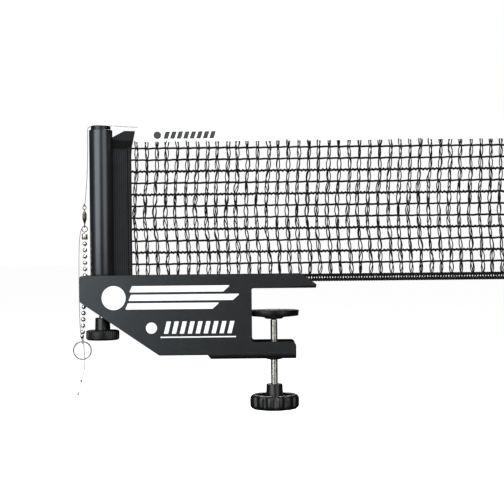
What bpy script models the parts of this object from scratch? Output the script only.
"""Table tennis net clamp: a folded steel bracket with its clamp screw, the net post with its height screw,
the tension cord and bead chain, and the end of the net that the post carries.

Metres, +Z up. The origin is on the flat underside of the upper arm, which rests on the table top, over the
axis of the clamp screw. +X runs along the net, away from the post. -Y is the side of the front wall."""

import math

import bmesh
import bpy
from mathutils import Matrix, Vector

GAP = 0.0003  # left between touching pieces

# Bracket, a folded steel sheet
EDGE_X = -0.0207  # the table's edge stops here, at the end of the throat
SHEET = 0.0020
DEPTH = 0.0370  # over both walls
BEND_R = 0.0035  # outside of a fold
LEFT_X = -0.1812
TOP_Z = 0.0132
SHOULDER_Z = -0.0112  # the sloping lower edge starts here
HEEL_X = -0.1075
BELLY_Z = -0.0618
STEP_X = -0.0622
LOWER_WEB_Z = -0.0658
LOWER_ARM_TOP_Z = -0.0500
LOWER_ARM_END_X = 0.0204
UPPER_ARM_SLOPE_X = 0.0263
UPPER_ARM_END_X = 0.0403
UPPER_ARM_TIP_Z = 0.0032

# Clamp
SCREW_R = 0.0034
SCREW_BALL_R = 0.0033
SCREW_BALL_Z = -0.0258
SCREW_NECK_R = 0.0022
PAD_R = 0.0240
PAD_TOP_Z = -0.0211
PAD_RIM_H = 0.0053
PAD_HUB_Z = -0.0293
KNOB_R = 0.02325
KNOB_LOBES = 14
KNOB_HUB_R = 0.0074
KNOB_HUB_Z = -0.0909
KNOB_TOP_Z = -0.1005
KNOB_FOOT_Z = -0.1145

# Post and its height screw
POST_X = EDGE_X - 0.1415
POST_R = 0.0110
POST_BORE_R = 0.0098
POST_FOOT_Z = -0.0030
POST_TOP_Z = 0.1507
CAP_TOP_Z = 0.1550
HEIGHT_SCREW_R = 0.0025
HEIGHT_PLATE_Z = -0.0110  # underside of the plate that carries the height screw
HEIGHT_KNOB_R = 0.0157
HEIGHT_KNOB_HUB_Z = -0.0268
HEIGHT_KNOB_TOP_Z = -0.0384
HEIGHT_KNOB_FOOT_Z = -0.0476

# Net
NET_TOP_Z = 0.1525  # playing height over the table
NET_FOOT_Z = 0.0057
ROD_X = POST_X + 0.0066
ROD_R = 0.0023
TAPE_T = 0.0012
TAPE_END_X = -0.1334
BAND_T = 0.0016
BAND_H = 0.0133
SELVEDGE_H = 0.0072
FAR_TAPE_X = 0.2240
FAR_TAPE_W = 0.0120

# Tension chain
CHAIN_X = -0.1783
BEAD_R = 0.00215
BEAD_PITCH = 0.00597
BEAD_WIRE_R = 0.00045
CATCH_Z = 0.0105  # middle of the slotted plate that holds a bead
UPPER_BEADS = 7
LOWER_BEADS = 9
TAIL_X = -0.1817  # where the chain's tail hangs, pushed out past the height knob
TAIL_EYE_Z = -0.04925
PULL_RING_R = 0.00835
LINK_RING_Z = 0.05735
LINK_RING_R = 0.00265
CORD_R = 0.0003

STEPS = 24  # sides of a round piece


def clear_scene():
    for thing in list(bpy.data.objects):
        bpy.data.objects.remove(thing, do_unlink=True)


def material(name, colour, roughness, metallic=0.0):
    made = bpy.data.materials.new(name)
    made.use_nodes = True
    shader = made.node_tree.nodes["Principled BSDF"]
    shader.inputs["Base Color"].default_value = (*colour, 1.0)
    shader.inputs["Roughness"].default_value = roughness
    shader.inputs["Metallic"].default_value = metallic
    return made


def solid(name, shape, finish, place=(0.0, 0.0, 0.0), smooth=True):
    """Make shape, a bmesh, an object of its own."""
    bmesh.ops.remove_doubles(shape, verts=shape.verts, dist=1e-6)
    bmesh.ops.recalc_face_normals(shape, faces=shape.faces)
    mesh = bpy.data.meshes.new(name)
    shape.to_mesh(mesh)
    shape.free()
    if smooth:
        mesh.shade_smooth()
        mesh.set_sharp_from_angle(angle=math.radians(40))
    made = bpy.data.objects.new(name, mesh)
    made.location = place
    made.data.materials.append(finish)
    bpy.context.scene.collection.objects.link(made)
    return made


def tool(made):
    made.hide_render = True
    made.display_type = "WIRE"
    return made


def boolean(target, other, operation):
    step = target.modifiers.new(operation.lower() + "_" + other.name, "BOOLEAN")
    step.operation = operation
    step.object = tool(other)
    step.solver = "EXACT"


def cut(target, cutter):
    boolean(target, cutter, "DIFFERENCE")


def weld(target, other):
    boolean(target, other, "UNION")


def rounded(corners, pieces=4):
    """Points of an outline whose corners (a, b, radius) are rounded with arcs."""
    points = []
    for number, (a, b, radius) in enumerate(corners):
        here = Vector((a, b))
        back = (Vector(corners[number - 1][:2]) - here).normalized()
        ahead = (Vector(corners[(number + 1) % len(corners)][:2]) - here).normalized()
        if radius == 0:
            points.append(here)
            continue
        half = back.angle(ahead) / 2
        centre = here + (back + ahead).normalized() * radius / math.sin(half)
        start = here + back * radius / math.tan(half) - centre
        end = here + ahead * radius / math.tan(half) - centre
        turn = start.angle_signed(end)
        for k in range(pieces + 1):
            points.append(centre + Matrix.Rotation(-turn * k / pieces, 2) @ start)
    return points


def wall_shape(outline, back, front):
    """Extrude an outline in the XZ plane from y = back to y = front."""
    shape = bmesh.new()
    face = shape.faces.new([shape.verts.new((p[0], back, p[1])) for p in outline])
    pushed = bmesh.ops.extrude_face_region(shape, geom=[face])["geom"]
    moved = [v for v in pushed if isinstance(v, bmesh.types.BMVert)]
    bmesh.ops.translate(shape, verts=moved, vec=(0, front - back, 0))
    return shape


def bevel_edges(shape, chosen, radius, segments=3):
    edges = [e for e in shape.edges if chosen(*(v.co for v in e.verts))]
    bmesh.ops.bevel(shape, geom=edges, offset=radius, segments=segments, profile=0.5, affect="EDGES")
    return shape


def box_shape(low, high, chamfer=0.0):
    shape = bmesh.new()
    size = Vector(high) - Vector(low)
    middle = (Vector(high) + Vector(low)) / 2
    bmesh.ops.create_cube(shape, size=1.0, matrix=Matrix.Translation(middle) @ Matrix.Diagonal((*size, 1)))
    if chamfer:
        bmesh.ops.bevel(shape, geom=shape.edges[:], offset=chamfer, segments=1, affect="EDGES")
    return shape


def turned_shape(profile, steps=STEPS):
    """Turn a profile of (radius, z) about Z. It is closed, or starts and ends on the axis."""
    shape = bmesh.new()
    verts = [shape.verts.new((r, 0, z)) for r, z in profile]
    edges = [shape.edges.new(pair) for pair in zip(verts, verts[1:])]
    if profile[0][0] > 0 or profile[-1][0] > 0:
        edges.append(shape.edges.new((verts[-1], verts[0])))
    bmesh.ops.spin(
        shape, geom=verts + edges, cent=(0, 0, 0), axis=(0, 0, 1), angle=2 * math.pi, steps=steps,
        use_merge=True, use_duplicate=False,
    )
    return shape


def torus_shape(ring_r, wire_r, across, steps=16, sides=6):
    """A wire ring about the origin whose axis is across."""
    circle = [
        (ring_r + wire_r * math.cos(a), wire_r * math.sin(a))
        for a in (2 * math.pi * k / sides for k in range(sides))
    ]
    shape = turned_shape(circle, steps)
    turn = Vector((0, 0, 1)).rotation_difference(Vector(across)).to_matrix()
    bmesh.ops.rotate(shape, verts=shape.verts, cent=(0, 0, 0), matrix=turn)
    return shape


def arc(centre_r, centre_z, radius, start, end, pieces=6):
    """Points of a profile along an arc, its angles in degrees from +R towards +Z."""
    angles = (math.radians(start + (end - start) * k / pieces) for k in range(pieces + 1))
    return [(centre_r + radius * math.cos(a), centre_z + radius * math.sin(a)) for a in angles]


def bead_profile(centre_z):
    reach = math.degrees(math.asin(BEAD_WIRE_R / BEAD_R))
    return arc(0, centre_z, BEAD_R, 90 - reach, reach - 90, 5)


def tube(name, route, radius, finish):
    """A round cord along a smooth curve through the points of route."""
    curve = bpy.data.curves.new(name, "CURVE")
    curve.dimensions = "3D"
    curve.bevel_depth = radius
    curve.bevel_resolution = 2
    curve.use_fill_caps = True
    points = smooth_route([Vector(p) for p in route], spacing=radius * 6)
    line = curve.splines.new("POLY")
    line.points.add(len(points) - 1)
    for point, place in zip(line.points, points):
        point.co = (*place, 1)
    made = bpy.data.objects.new(name, curve)
    curve.materials.append(finish)
    bpy.context.scene.collection.objects.link(made)
    return made


def smooth_route(points, spacing):
    """Points every spacing or so along a Catmull-Rom curve through points."""
    ends = [2 * points[0] - points[1], *points, 2 * points[-1] - points[-2]]
    out = [points[0]]
    for a, b, c, d in zip(ends, ends[1:], ends[2:], ends[3:]):
        count = max(1, round((c - b).length / spacing))
        for k in range(1, count + 1):
            t = k / count
            cubic = (3 * b - a - 3 * c + d) * t**3
            out.append(0.5 * (2 * b + (c - a) * t + (2 * a - 5 * b + 4 * c - d) * t * t + cubic))
    return out


def axis_empty(name, place):
    made = bpy.data.objects.new(name, None)
    made.location = place
    made.empty_display_size = 0.01
    bpy.context.scene.collection.objects.link(made)
    return made


def attach(parent, children):
    """Parent children to an empty on a joint's axis, leaving them where they are."""
    bpy.context.view_layer.update()
    for child in children:
        child.parent = parent
        child.matrix_parent_inverse = parent.matrix_world.inverted()


def bracket_channel(finish):
    corners = [
        (LEFT_X, TOP_Z, 0.0020),
        (LEFT_X, SHOULDER_Z, 0.0015),
        (HEEL_X, BELLY_Z, 0.0030),
        (STEP_X, BELLY_Z, 0),
        (STEP_X + 0.0030, LOWER_WEB_Z, 0),
        (LOWER_ARM_END_X, LOWER_WEB_Z, 0),
        (LOWER_ARM_END_X, LOWER_ARM_TOP_Z, 0.0042),
        (EDGE_X, LOWER_ARM_TOP_Z, 0.0020),
        (EDGE_X, 0.0, 0.0012),
        (UPPER_ARM_END_X - 0.0009, 0.0, 0),
        (UPPER_ARM_END_X, UPPER_ARM_TIP_Z, 0.0014),
        (UPPER_ARM_SLOPE_X, TOP_Z, 0.0020),
    ]
    half = DEPTH / 2
    shape = wall_shape(rounded(corners), half, -half)
    bmesh.ops.recalc_face_normals(shape, faces=shape.faces)

    def lower_fold(a, b):
        return abs(a.z - LOWER_WEB_Z) < 1e-6 and abs(b.z - LOWER_WEB_Z) < 1e-6 and a.y == b.y

    def upper_fold(a, b):
        on_arm = min(a.x, b.x) > EDGE_X
        return on_arm and abs(a.z) < 1e-6 and abs(b.z) < 1e-6 and a.y == b.y

    bevel_edges(shape, lower_fold, BEND_R)
    bevel_edges(shape, upper_fold, BEND_R / 2)
    made = solid("bracket_channel", shape, finish)
    # Everything between the walls goes, apart from the upper arm's web and the lower arm's web.
    inner = half - SHEET
    room = [
        (LEFT_X - 0.02, 0.03),
        (UPPER_ARM_END_X + 0.02, 0.03),
        (UPPER_ARM_END_X + 0.02, SHEET),
        (EDGE_X - 0.0010, SHEET),
        (EDGE_X - 0.0010, -0.0005),
        (UPPER_ARM_END_X + 0.02, -0.0005),
        (UPPER_ARM_END_X + 0.02, LOWER_WEB_Z + SHEET),
        (STEP_X + 0.0017, LOWER_WEB_Z + SHEET),
        (STEP_X + 0.0017, LOWER_WEB_Z - 0.02),
        (LEFT_X - 0.02, LOWER_WEB_Z - 0.02),
    ]
    shape = wall_shape(room, inner, -inner)
    bmesh.ops.recalc_face_normals(shape, faces=shape.faces)

    def lower_inside(a, b):
        level = LOWER_WEB_Z + SHEET
        return abs(a.z - level) < 1e-6 and abs(b.z - level) < 1e-6 and a.y == b.y

    bevel_edges(shape, lower_inside, BEND_R - SHEET)
    cut(made, solid("channel_room", shape, finish))
    hole = turned_shape([(0, -0.05), (0.0053, -0.05), (0.0053, -0.08), (0, -0.08)])
    cut(made, solid("boss_hole", hole, finish))
    return made


def clinch_nut(finish):
    """The threaded boss in the lower web, flared under it so that it can't pull through."""
    web_top = LOWER_WEB_Z + SHEET
    profile = [
        (SCREW_R + GAP, web_top + 0.0050),
        (0.0062, web_top + 0.0050),
        (0.0068, web_top + 0.0044),
        (0.0068, web_top + GAP),
        (0.0050, web_top + GAP),
        (0.0050, LOWER_WEB_Z - GAP),
        (0.0090, LOWER_WEB_Z - GAP),
        (0.0088, LOWER_WEB_Z - 0.0010),
        (0.0046, LOWER_WEB_Z - 0.0020),
        (SCREW_R + GAP, LOWER_WEB_Z - 0.0020),
    ]
    return solid("clinch_nut", turned_shape(profile), finish)


def pressure_pad(finish):
    rim_z = PAD_TOP_Z - PAD_RIM_H
    socket_r = SCREW_BALL_R + GAP
    profile = [
        (0, PAD_TOP_Z),
        (PAD_R - 0.0008, PAD_TOP_Z),
        (PAD_R, PAD_TOP_Z - 0.0008),
        (PAD_R - 0.0006, rim_z + 0.0006),
        (PAD_R - 0.0014, rim_z),
        (0.0100, rim_z - 0.0012),
        (0.0090, rim_z - 0.0016),
        (0.0076, PAD_HUB_Z),
        (0.0063, PAD_HUB_Z),
        (0.0063, PAD_HUB_Z + 0.0014),
        (socket_r, PAD_HUB_Z + 0.0014),
        (socket_r, SCREW_BALL_Z + SCREW_BALL_R + GAP),
        (0, SCREW_BALL_Z + SCREW_BALL_R + GAP),
    ]
    made = solid("pressure_pad", turned_shape(profile, 36), finish)
    notch = box_shape((-0.0022, -0.0120, PAD_HUB_Z - 0.001), (0.0022, -0.0068, PAD_HUB_Z + 0.0016))
    cut(made, solid("pad_notch", notch, finish))
    return made


def pad_retainer(finish):
    low, high = PAD_HUB_Z + 0.0001, PAD_HUB_Z + 0.0011
    profile = [(0.0026, high), (0.0060, high), (0.0060, low), (0.0026, low)]
    return solid("pad_retainer", turned_shape(profile), finish)


def clamp_screw(finish):
    shank_top = PAD_HUB_Z - 0.0005
    profile = [
        *arc(0, SCREW_BALL_Z, SCREW_BALL_R, 90, -48, 8),
        (SCREW_NECK_R, shank_top + 0.0006),
        (SCREW_R - 0.0006, shank_top),
        (SCREW_R, shank_top - 0.0006),
        (SCREW_R, KNOB_FOOT_Z + 0.0020),
        (0, KNOB_FOOT_Z + 0.0020),
    ]
    return solid("clamp_screw", turned_shape(profile, 20), finish)


def lobed_outline(radius, lobes, depth, per_lobe=4):
    """Points round a grip with rounded lobes and narrow valleys between them."""
    count = lobes * per_lobe
    points = []
    for k in range(count):
        angle = 2 * math.pi * k / count
        valley = (0.5 - 0.5 * math.cos(lobes * angle)) ** 3
        reach = radius - depth * valley
        points.append((reach * math.cos(angle), reach * math.sin(angle)))
    return points


def clamp_knob(finish):
    shape = bmesh.new()
    rim = lobed_outline(KNOB_R, KNOB_LOBES, 0.0016)
    face = shape.faces.new([shape.verts.new((x, y, KNOB_FOOT_Z)) for x, y in rim])
    pushed = bmesh.ops.extrude_face_region(shape, geom=[face])["geom"]
    moved = [v for v in pushed if isinstance(v, bmesh.types.BMVert)]
    bmesh.ops.translate(shape, verts=moved, vec=(0, 0, KNOB_TOP_Z - KNOB_FOOT_Z))
    bmesh.ops.recalc_face_normals(shape, faces=shape.faces)
    bevel_edges(shape, lambda a, b: a.z == b.z, 0.0020, 2)
    made = solid("clamp_knob", shape, finish)
    dish = turned_shape([
        (0, 0),
        (0.0185, 0),
        (0.0165, KNOB_TOP_Z - 0.0020),
        (0.0110, KNOB_TOP_Z - 0.0030),
        (0, KNOB_TOP_Z - 0.0030),
    ])
    cut(made, solid("knob_dish", dish, finish))
    hub = [
        (0, KNOB_HUB_Z),
        (KNOB_HUB_R - 0.0008, KNOB_HUB_Z),
        (KNOB_HUB_R, KNOB_HUB_Z - 0.0008),
        (KNOB_HUB_R + 0.0006, KNOB_TOP_Z - 0.0050),
        (0, KNOB_TOP_Z - 0.0050),
    ]
    weld(made, solid("knob_hub", turned_shape(hub), finish))
    bore = [
        (0, 0),
        (SCREW_R + GAP, 0),
        (SCREW_R + GAP, KNOB_TOP_Z),
        (0.0062, KNOB_TOP_Z),
        (0.0062, -0.2),
        (0, -0.2),
    ]
    cut(made, solid("knob_bore", turned_shape(bore), finish))
    return made


def sleeve(name, inner, outer, low, high, finish, x=0.0, steps=STEPS, chamfer=0.0004):
    """A plain bush, washer or ring on a vertical axis at x."""
    profile = [
        (inner, high),
        (outer - chamfer, high),
        (outer, high - chamfer),
        (outer, low + chamfer),
        (outer - chamfer, low),
        (inner, low),
    ]
    return solid(name, turned_shape(profile, steps), finish, (x, 0, 0))


def bored_plate(name, low, high, bore_r, finish, chamfer=0.0):
    """A block or plate between the walls, with a bore on the post's axis."""
    made = solid(name, box_shape(low, high, chamfer), finish)
    bore = turned_shape([(0, 0.05), (bore_r, 0.05), (bore_r, -0.05), (0, -0.05)])
    cut(made, solid(name + "_bore", bore, finish, (POST_X, 0, 0)))
    return made


def catch_plate(finish):
    """The plate at the bracket's outer end. Its slot passes the chain's wire and stops a bead."""
    side = DEPTH / 2 - SHEET - GAP
    thin = 0.0005
    made = solid(
        "chain_catch_plate",
        box_shape((LEFT_X + 0.0006, -side, CATCH_Z - thin), (-0.1758, side, CATCH_Z + thin)),
        finish,
    )
    slot = box_shape((LEFT_X - 0.005, -0.0009, CATCH_Z - 0.002), (CHAIN_X + 0.0012, 0.0009, CATCH_Z + 0.002))
    cut(made, solid("catch_slot", slot, finish))
    return made


def post_tube(finish):
    profile = [
        (POST_BORE_R, POST_TOP_Z),
        (POST_R - 0.0003, POST_TOP_Z),
        (POST_R, POST_TOP_Z - 0.0003),
        (POST_R, POST_FOOT_Z),
        (POST_BORE_R, POST_FOOT_Z),
    ]
    made = solid("post_tube", turned_shape(profile, 32), finish, (POST_X, 0, 0))
    slot = box_shape((0.0030, -0.0016, NET_FOOT_Z - 0.001), (0.0200, 0.0016, 0.2))
    cut(made, solid("net_slot", slot, finish, (POST_X, 0, 0)))
    return made


def post_cap(finish):
    plug_r, lip_r = POST_BORE_R - GAP, 0.0091
    profile = [
        (0, CAP_TOP_Z),
        *arc(lip_r - 0.0014, CAP_TOP_Z - 0.0014, 0.0014, 90, 0, 4),
        (lip_r, POST_TOP_Z),
        (plug_r, POST_TOP_Z - 0.0004),
        (plug_r, 0.1440),
        (0, 0.1440),
    ]
    made = solid("post_cap", turned_shape(profile, 28), finish, (POST_X, 0, 0))
    groove = turned_shape([(0, 0.02), (0.0009, 0.02), (0.0009, -0.02), (0, -0.02)], 12)
    bmesh.ops.rotate(groove, verts=groove.verts, cent=(0, 0, 0), matrix=Matrix.Rotation(math.pi / 2, 3, "Y"))
    cut(made, solid("cord_groove", groove, finish, (POST_X, 0, CAP_TOP_Z)))
    return made


def height_screw(finish):
    under = HEIGHT_PLATE_Z - 0.0016
    profile = [
        (0, 0.0080),
        (HEIGHT_SCREW_R - 0.0005, 0.0080),
        (HEIGHT_SCREW_R, 0.0075),
        (HEIGHT_SCREW_R, under),
        (0.0033, under),
        (0.0033, HEIGHT_KNOB_HUB_Z + GAP),
        (HEIGHT_SCREW_R, HEIGHT_KNOB_HUB_Z + GAP),
        (HEIGHT_SCREW_R, HEIGHT_KNOB_FOOT_Z + 0.0010),
        (0, HEIGHT_KNOB_FOOT_Z + 0.0010),
    ]
    return solid("height_screw", turned_shape(profile, 16), finish, (POST_X, 0, 0))


def height_knob(finish):
    clear = HEIGHT_SCREW_R + GAP
    rim, hub = HEIGHT_KNOB_R, 0.0072
    profile = [
        (clear, HEIGHT_KNOB_HUB_Z),
        (hub - 0.0010, HEIGHT_KNOB_HUB_Z),
        (hub - 0.0004, HEIGHT_KNOB_HUB_Z - 0.0006),
        (hub, HEIGHT_KNOB_TOP_Z),
        (rim - 0.0012, HEIGHT_KNOB_TOP_Z),
        (rim, HEIGHT_KNOB_TOP_Z - 0.0012),
        (rim, HEIGHT_KNOB_FOOT_Z + 0.0012),
        (rim - 0.0012, HEIGHT_KNOB_FOOT_Z),
        (0.0053, HEIGHT_KNOB_FOOT_Z),
        (0.0053, HEIGHT_KNOB_FOOT_Z + 0.0143),
        (clear, HEIGHT_KNOB_FOOT_Z + 0.0143),
    ]
    return solid("height_knob", turned_shape(profile, 30), finish, (POST_X, 0, 0))


def net_end_tape(finish):
    """The sewn tape: a hem round the rod in the post, and the flat part with its turned-over top corner."""
    corners = [
        (ROD_X + ROD_R + GAP, NET_FOOT_Z),
        (ROD_X + ROD_R + GAP, 0.1425),
        (POST_X + 0.0116, 0.1444),
        (-0.1399, 0.1500),
        (-0.1296, 0.1497),
        (-0.1327, 0.1350),
        (TAPE_END_X, 0.1260),
        (TAPE_END_X, NET_FOOT_Z),
    ]
    made = solid("net_end_tape", wall_shape(corners, TAPE_T / 2, -TAPE_T / 2), finish, smooth=False)
    inner, outer = ROD_R + GAP, ROD_R + GAP + 0.0007
    hem = turned_shape([(inner, 0.1400), (outer, 0.1400), (outer, NET_FOOT_Z), (inner, NET_FOOT_Z)], 16)
    weld(made, solid("hem", hem, finish, (ROD_X, 0, 0)))
    return made


def net_strip(name, x_range, z_range, thick, finish):
    (x0, x1), (z0, z1) = x_range, z_range
    return solid(name, box_shape((x0, -thick / 2, z0), (x1, thick / 2, z1)), finish, smooth=False)


def bead_chain(name, top_z, beads, finish, wire_top=None, wire_foot=None):
    """Hollow beads on short wires. A wire leads in from wire_top or out to wire_foot, where one is given."""
    last = top_z - (beads - 1) * BEAD_PITCH
    profile = [(0, top_z + BEAD_R)] if wire_top is None else [(0, wire_top), (BEAD_WIRE_R, wire_top)]
    for number in range(beads):
        profile += bead_profile(top_z - number * BEAD_PITCH)
    profile += [(0, last - BEAD_R)] if wire_foot is None else [(BEAD_WIRE_R, wire_foot), (0, wire_foot)]
    return solid(name, turned_shape(profile, 8), finish)


def swivel_barrel(finish):
    """The barrel of the swivel, with the lower eye that holds the link ring."""
    profile = [
        (0, 0.0740),
        (0.0012, 0.0736),
        (0.0020, 0.0715),
        (0.0020, 0.0670),
        (0.0012, 0.0645),
        (0.0006, 0.0632),
        (0.0006, 0.0621),
        (0, 0.0621),
    ]
    made = solid("swivel_barrel", turned_shape(profile, 12), finish, (CHAIN_X, 0, 0))
    eye = torus_shape(0.00175, 0.0004, (1, 0, 0))
    weld(made, solid("swivel_low_loop", eye, finish, (CHAIN_X, 0, 0.0606)))
    return made


def swivel_eye(finish):
    """The upper eye of the swivel, which the cord is tied to."""
    stem = turned_shape([(0, 0.0762), (0.0006, 0.0762), (0.0006, 0.0743), (0, 0.0743)], 12)
    made = solid("swivel_eye", stem, finish, (CHAIN_X, 0, 0))
    loop = torus_shape(0.0016, 0.0004, (0, 1, 0))
    weld(made, solid("swivel_top_loop", loop, finish, (CHAIN_X, 0, 0.0776)))
    return made


def chain_top_connector(finish):
    """The bell that grips the chain's first bead, with its loop round the link ring."""
    bead_z = CATCH_Z + 0.00308 + (UPPER_BEADS - 1) * BEAD_PITCH
    inner = BEAD_R + GAP
    profile = [
        (0, 0.0535),
        (0.0011, 0.0535),
        (0.0027, 0.0527),
        (0.0027, 0.0474),
        (inner, 0.0474),
        (inner, bead_z + inner),
        (0, bead_z + inner),
    ]
    made = solid("chain_top_connector", turned_shape(profile, 16), finish, (CHAIN_X, 0, 0))
    loop = torus_shape(0.0014, 0.0004, (1, 0, 0))
    weld(made, solid("connector_top_loop", loop, finish, (CHAIN_X, 0, LINK_RING_Z - LINK_RING_R)))
    return made


def chain_tail_connector(finish):
    """The bell under the last bead, with the eye that the pull ring hangs in."""
    profile = [
        (0, -0.04275),
        (0.0014, -0.0429),
        (0.0018, -0.0440),
        (0.0012, -0.0462),
        (0.0006, -0.0470),
        (0.0006, -0.0476),
        (0, -0.0476),
    ]
    made = solid("chain_tail_connector", turned_shape(profile, 12), finish, (TAIL_X, 0, 0))
    loop = torus_shape(0.0017, 0.0004, (1, 0, 0))
    weld(made, solid("connector_tail_loop", loop, finish, (TAIL_X, 0, TAIL_EYE_Z)))
    return made


def main():
    clear_scene()
    bracket_paint = material("bracket_paint", (0.075, 0.080, 0.088), 0.45)
    black_plastic = material("black_plastic", (0.012, 0.012, 0.013), 0.35)
    post_paint = material("post_paint", (0.018, 0.019, 0.021), 0.32)
    zinc = material("zinc_plate", (0.55, 0.52, 0.47), 0.35, 1.0)
    brass = material("dark_brass", (0.20, 0.17, 0.09), 0.40, 1.0)
    nickel = material("nickel", (0.62, 0.60, 0.56), 0.22, 1.0)
    black_tape = material("black_tape", (0.014, 0.015, 0.017), 0.85)
    white_tape = material("white_tape", (0.86, 0.86, 0.85), 0.80)
    net_string = material("net_string", (0.012, 0.012, 0.013), 0.80)
    nylon = material("clear_nylon", (0.80, 0.80, 0.78), 0.25)

    bracket_channel(bracket_paint)
    clinch_nut(bracket_paint)
    side = DEPTH / 2 - SHEET - GAP
    guide = bored_plate(
        "post_guide_block", (POST_X - 0.0130, -side, -0.0055), (POST_X + 0.0130, side, 0.0110),
        POST_R + GAP, black_plastic, 0.0008,
    )
    # The net's tape leaves the post through this slot, and goes down with it.
    tape_slot = box_shape((POST_X + 0.0080, -0.0012, NET_FOOT_Z - 0.0022), (POST_X + 0.0180, 0.0012, 0.0200))
    cut(guide, solid("tape_slot", tape_slot, black_plastic))
    bored_plate(
        "height_screw_plate", (POST_X - 0.0130, -side, HEIGHT_PLATE_Z),
        (POST_X + 0.0130, side, HEIGHT_PLATE_Z + SHEET), HEIGHT_SCREW_R + GAP, bracket_paint,
    )
    catch_plate(bracket_paint)

    pad = [pressure_pad(black_plastic), pad_retainer(zinc)]
    screw = [
        clamp_screw(zinc),
        clamp_knob(black_plastic),
        sleeve("clamp_knob_insert", SCREW_R + GAP, 0.0059, KNOB_FOOT_Z + 0.0020, KNOB_TOP_Z - 0.0004, brass),
    ]

    plate_top = HEIGHT_PLATE_Z + SHEET
    knob_group = [
        height_screw(zinc),
        height_knob(black_plastic),
        sleeve(
            "height_knob_insert", HEIGHT_SCREW_R + GAP, 0.0050, HEIGHT_KNOB_FOOT_Z + 0.0010,
            HEIGHT_KNOB_FOOT_Z + 0.0140, brass, POST_X, 16,
        ),
        sleeve(
            "height_screw_washer", HEIGHT_SCREW_R + GAP, 0.0060, HEIGHT_PLATE_Z - 0.0013,
            HEIGHT_PLATE_Z - GAP, zinc, POST_X, 16, 0.0002,
        ),
        sleeve(
            "height_screw_clip", HEIGHT_SCREW_R + GAP, 0.0045, plate_top + GAP, plate_top + 0.0013,
            zinc, POST_X, 16, 0.0002,
        ),
    ]

    post = [
        post_tube(post_paint),
        post_cap(black_plastic),
        sleeve(
            "post_foot_nut", HEIGHT_SCREW_R + GAP, POST_BORE_R - GAP, POST_FOOT_Z, 0.0045,
            brass, POST_X, 24, 0.0006,
        ),
        sleeve("net_end_rod", 0.0012, ROD_R, NET_FOOT_Z, 0.1405, nickel, ROD_X, 16, 0.0003),
        net_end_tape(black_tape),
    ]
    band_foot = NET_TOP_Z - BAND_H
    braid_top = NET_FOOT_Z + SELVEDGE_H
    net_right = FAR_TAPE_X - GAP
    post += [
        net_strip("net_top_band", (-0.1292, net_right), (band_foot, NET_TOP_Z), BAND_T, white_tape),
        net_strip(
            "net_mesh_panel", (-0.1312, net_right), (braid_top + GAP, band_foot - GAP), 0.0008, net_string
        ),
        net_strip(
            "net_bottom_band", (TAPE_END_X + GAP, net_right), (NET_FOOT_Z, braid_top), BAND_T, net_string
        ),
        net_strip(
            "net_far_tape", (FAR_TAPE_X, FAR_TAPE_X + FAR_TAPE_W), (NET_FOOT_Z, NET_TOP_Z), BAND_T, black_tape
        ),
    ]
    over_cap = [
        (-0.1272, 0, 0.15315),
        (-0.1380, 0, 0.15390),
        (-0.1500, 0, 0.15475),
        (POST_X + 0.0080, 0, 0.15500),
        (POST_X, 0, 0.15500),
        (POST_X - 0.0080, 0, 0.15490),
        (POST_X - 0.0110, 0, 0.15370),
        (POST_X - 0.0122, 0, 0.15150),
    ]
    drop_x = POST_X - 0.0126
    drop = [
        (drop_x, 0, 0.1512),
        (drop_x, 0, 0.1300),
        (-0.1757, 0, 0.1050),
        (-0.1774, 0, 0.0850),
        (CHAIN_X, 0, 0.0800),
    ]
    post += [tube("cap_cord", over_cap, CORD_R, nylon), tube("drop_cord", drop, CORD_R, nylon)]

    swivel_eye(brass)
    swivel_barrel(brass)
    link_ring = torus_shape(LINK_RING_R, 0.00045, (0, 1, 0), 20)
    solid("link_ring", link_ring, nickel, (CHAIN_X, 0, LINK_RING_Z))
    chain_top_connector(brass)
    top_bead_z = CATCH_Z + 0.00308 + (UPPER_BEADS - 1) * BEAD_PITCH
    upper = bead_chain("bead_chain_upper", top_bead_z, UPPER_BEADS, nickel, wire_foot=CATCH_Z + 0.0002)
    upper.location = (CHAIN_X, 0, 0)

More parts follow.
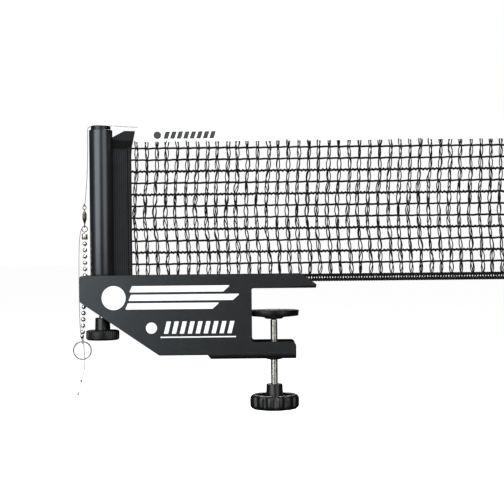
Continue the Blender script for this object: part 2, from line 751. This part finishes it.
    # The tail leans from the catch plate's slot to the side of the height knob.
    lean = math.atan2(CHAIN_X - TAIL_X, CATCH_Z - TAIL_EYE_Z)
    lower = bead_chain("bead_chain_lower", -0.0030, LOWER_BEADS, nickel, wire_top=-0.0002)
    lower.location = (CHAIN_X, 0, CATCH_Z)
    lower.rotation_euler = (0, lean, 0)
    tail_cord = [
        (TAIL_X + 0.0011, 0.0016, -0.0472),
        (TAIL_X + 0.0012, 0.0016, -0.0530),
        (TAIL_X + 0.0016, 0.0016, -0.0600),
        (TAIL_X + 0.0020, 0.0016, -0.0680),
        (TAIL_X + 0.0012, 0.0016, -0.0770),
        (TAIL_X - 0.0016, 0.0016, -0.0865),
        (TAIL_X - 0.0032, 0.0016, -0.0930),
        (TAIL_X - 0.0046, 0.0016, -0.0998),
    ]
    loop_cord = [
        (CHAIN_X - 0.0010, 0.0012, 0.0600),
        (CHAIN_X - 0.0036, 0.0022, 0.0570),
        (CHAIN_X - 0.0054, 0.0034, 0.0480),
        (CHAIN_X - 0.0062, 0.0038, 0.0340),
        (CHAIN_X - 0.0064, 0.0038, 0.0150),
        (CHAIN_X - 0.0064, 0.0038, -0.0050),
        (CHAIN_X - 0.0062, 0.0038, -0.0240),
        (CHAIN_X - 0.0056, 0.0038, -0.0380),
        (TAIL_X - 0.0010, 0.0030, -0.0460),
    ]
    tail = [lower, chain_tail_connector(brass), tube("tail_cord", tail_cord, CORD_R, nylon)]
    tube("loop_cord", loop_cord, CORD_R, nylon)
    ring = solid(
        "pull_ring", torus_shape(PULL_RING_R, 0.00055, (0, 1, 0), 32), nickel,
        (TAIL_X, 0, TAIL_EYE_Z - PULL_RING_R),
    )

    attach(axis_empty("pad_axis", (0, 0, PAD_TOP_Z)), pad)
    attach(axis_empty("clamp_screw_axis", (0, 0, SCREW_BALL_Z)), screw)
    attach(axis_empty("height_screw_axis", (POST_X, 0, HEIGHT_PLATE_Z)), knob_group)
    attach(axis_empty("post_axis", (POST_X, 0, 0)), post)
    attach(axis_empty("tail_pivot", (CHAIN_X, 0, CATCH_Z)), tail)
    attach(axis_empty("ring_pivot", (TAIL_X, 0, TAIL_EYE_Z)), [ring])


main()
